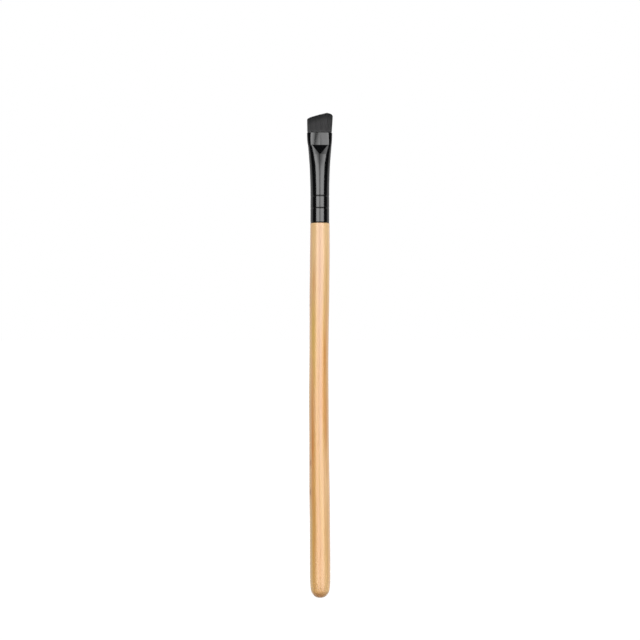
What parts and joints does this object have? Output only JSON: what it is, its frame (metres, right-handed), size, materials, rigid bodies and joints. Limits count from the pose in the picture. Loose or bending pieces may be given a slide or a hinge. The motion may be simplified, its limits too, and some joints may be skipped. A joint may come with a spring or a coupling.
{
  "type": "eyeliner brush",
  "caption": "Flat slanted eyeliner brush with a turned wooden handle, a black crimped ferrule pressed flat at the mouth, and a dark angled tuft.",
  "frame": {"origin": "butt end of the handle, on the brush's axis, where a pot or a hand holds it", "axes": "+Z along the brush from the butt to the tuft, -Y out of the ferrule's front pad, +X across the pad towards the tuft's long side"},
  "size_m": [0.0085, 0.0068, 0.16],
  "materials": {
    "handle_wood": "clear gloss lacquer over light bamboo-like wood",
    "ferrule_lacquer": "gloss black lacquer on drawn aluminium",
    "bristle_hair": "soft dark grey synthetic hair",
    "root_resin": "cast amber resin",
    "wood_glue": "cured glue"
  },
  "bodies": {
    "root": {"handle": "handle_wood", "ferrule": "ferrule_lacquer", "bristle_tuft": "bristle_hair", "root_plug": "root_resin", "tenon_adhesive": "wood_glue"}
  },
  "joints": []
}
